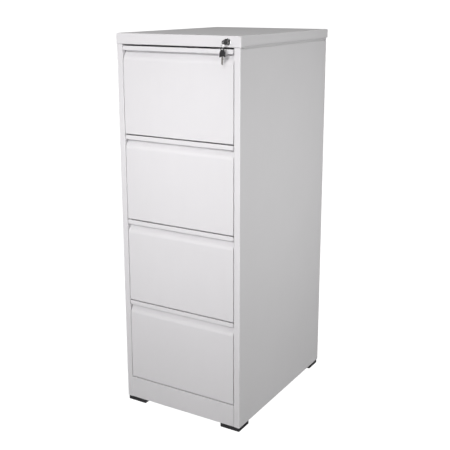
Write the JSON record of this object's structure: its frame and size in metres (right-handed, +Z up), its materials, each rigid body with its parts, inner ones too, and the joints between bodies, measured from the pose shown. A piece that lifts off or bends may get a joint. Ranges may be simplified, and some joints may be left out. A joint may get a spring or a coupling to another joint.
{
  "type": "filing cabinet",
  "caption": "Tall steel filing cabinet with full-width recessed drawer pulls, drawers on telescopic slides, and a keyed lock in the top rail.",
  "frame": {"origin": "on the floor, under the middle of the whole box, key included", "axes": "+Z up, +X to the right seen from the front, +Y from the drawer fronts to the back"},
  "size_m": [0.475, 0.6742, 1.32],
  "materials": {
    "powder_coat": "light grey powder coat, satin, fine texture",
    "zinc_plate": "bright zinc plate",
    "chrome": "polished nickel or chrome plate",
    "black_plastic": "moulded black plastic, satin",
    "black_rubber": "ribbed black rubber"
  },
  "bodies": {
    "case": {"top_cap": "powder_coat", "back_panel": "powder_coat", "bottom_pan": "powder_coat", "plinth": "powder_coat", "cap_stiffener": "zinc_plate", "side_panel_left": "powder_coat", "side_panel_right": "powder_coat", "foot_front_left": "black_rubber", "foot_front_right": "black_rubber", "foot_rear_left": "black_rubber", "foot_rear_right": "black_rubber", "slide_post_front_left": "zinc_plate", "slide_post_front_right": "zinc_plate", "slide_post_rear_left": "zinc_plate", "slide_post_rear_right": "zinc_plate", "slide_case_member_1_left": "zinc_plate", "slide_case_member_1_right": "zinc_plate", "slide_case_member_2_left": "zinc_plate", "slide_case_member_2_right": "zinc_plate", "slide_case_member_3_left": "zinc_plate", "slide_case_member_3_right": "zinc_plate", "slide_case_member_4_left": "zinc_plate", "slide_case_member_4_right": "zinc_plate", "lock_barrel": "chrome", "lock_nut": "zinc_plate", "lock_bar_guide_lower": "black_plastic", "lock_bar_guide_upper": "black_plastic"},
    "drawer_1": {"drawer_front_1": "powder_coat", "drawer_tray_1": "powder_coat", "slide_tray_member_1_left": "zinc_plate", "slide_tray_member_1_right": "zinc_plate"},
    "middle_slides_1": {"slide_middle_member_1_left": "zinc_plate", "slide_middle_member_1_right": "zinc_plate"},
    "drawer_2": {"drawer_front_2": "powder_coat", "drawer_tray_2": "powder_coat", "slide_tray_member_2_left": "zinc_plate", "slide_tray_member_2_right": "zinc_plate"},
    "middle_slides_2": {"slide_middle_member_2_left": "zinc_plate", "slide_middle_member_2_right": "zinc_plate"},
    "drawer_3": {"drawer_front_3": "powder_coat", "drawer_tray_3": "powder_coat", "slide_tray_member_3_left": "zinc_plate", "slide_tray_member_3_right": "zinc_plate"},
    "middle_slides_3": {"slide_middle_member_3_left": "zinc_plate", "slide_middle_member_3_right": "zinc_plate"},
    "drawer_4": {"drawer_front_4": "powder_coat", "drawer_tray_4": "powder_coat", "slide_tray_member_4_left": "zinc_plate", "slide_tray_member_4_right": "zinc_plate"},
    "middle_slides_4": {"slide_middle_member_4_left": "zinc_plate", "slide_middle_member_4_right": "zinc_plate"},
    "lock_plug": {"lock_plug": "chrome", "lock_cam": "zinc_plate", "key_grip": "black_plastic", "key_blade": "chrome"},
    "lock_bar": {"lock_bar": "zinc_plate"},
    "key_ring": {"key_ring": "chrome"},
    "spare_key": {"spare_key_grip": "black_plastic", "spare_key_blade": "chrome"}
  },
  "joints": [
    {"name": "drawer_1_slide", "type": "slide", "parent": "case", "child": "drawer_1", "axis": [0, -1, 0], "range_m": [0, 0.6]},
    {"name": "middle_slides_1_travel", "type": "slide", "parent": "case", "child": "middle_slides_1", "axis": [0, -1, 0], "range_m": [0, 0.3]},
    {"name": "drawer_2_slide", "type": "slide", "parent": "case", "child": "drawer_2", "axis": [0, -1, 0], "range_m": [0, 0.6]},
    {"name": "middle_slides_2_travel", "type": "slide", "parent": "case", "child": "middle_slides_2", "axis": [0, -1, 0], "range_m": [0, 0.3]},
    {"name": "drawer_3_slide", "type": "slide", "parent": "case", "child": "drawer_3", "axis": [0, -1, 0], "range_m": [0, 0.6]},
    {"name": "middle_slides_3_travel", "type": "slide", "parent": "case", "child": "middle_slides_3", "axis": [0, -1, 0], "range_m": [0, 0.3]},
    {"name": "drawer_4_slide", "type": "slide", "parent": "case", "child": "drawer_4", "axis": [0, -1, 0], "range_m": [0, 0.6]},
    {"name": "middle_slides_4_travel", "type": "slide", "parent": "case", "child": "middle_slides_4", "axis": [0, -1, 0], "range_m": [0, 0.3]},
    {"name": "lock_turn", "type": "hinge", "parent": "case", "child": "lock_plug", "pos_m": [0.1915, -0.3029, 1.3015], "axis": [0, 1, 0], "range_deg": [0, 90]},
    {"name": "lock_bar_lift", "type": "slide", "parent": "case", "child": "lock_bar", "axis": [0, 0, 1], "range_m": [0, 0.0099]},
    {"name": "key_ring_hang", "type": "hinge", "parent": "lock_plug", "child": "key_ring", "pos_m": [0.1915, -0.3319, 1.3015], "axis": [0, 1, 0], "range_deg": [-90, 0]},
    {"name": "spare_key_swing", "type": "hinge", "parent": "key_ring", "child": "spare_key", "pos_m": [0.18575, -0.32615, 1.28187], "axis": [0.7071, -0.7071, 0], "range_deg": [-20, 8]}
  ],
  "couplings": [
    {"joint": "middle_slides_1_travel", "follows": "drawer_1_slide", "ratio": 0.5},
    {"joint": "middle_slides_2_travel", "follows": "drawer_2_slide", "ratio": 0.5},
    {"joint": "middle_slides_3_travel", "follows": "drawer_3_slide", "ratio": 0.5},
    {"joint": "middle_slides_4_travel", "follows": "drawer_4_slide", "ratio": 0.5},
    {"joint": "lock_turn", "follows": "lock_bar_lift", "rad_per_m": 158.66},
    {"joint": "key_ring_hang", "follows": "lock_bar_lift", "rad_per_m": -158.66}
  ]
}
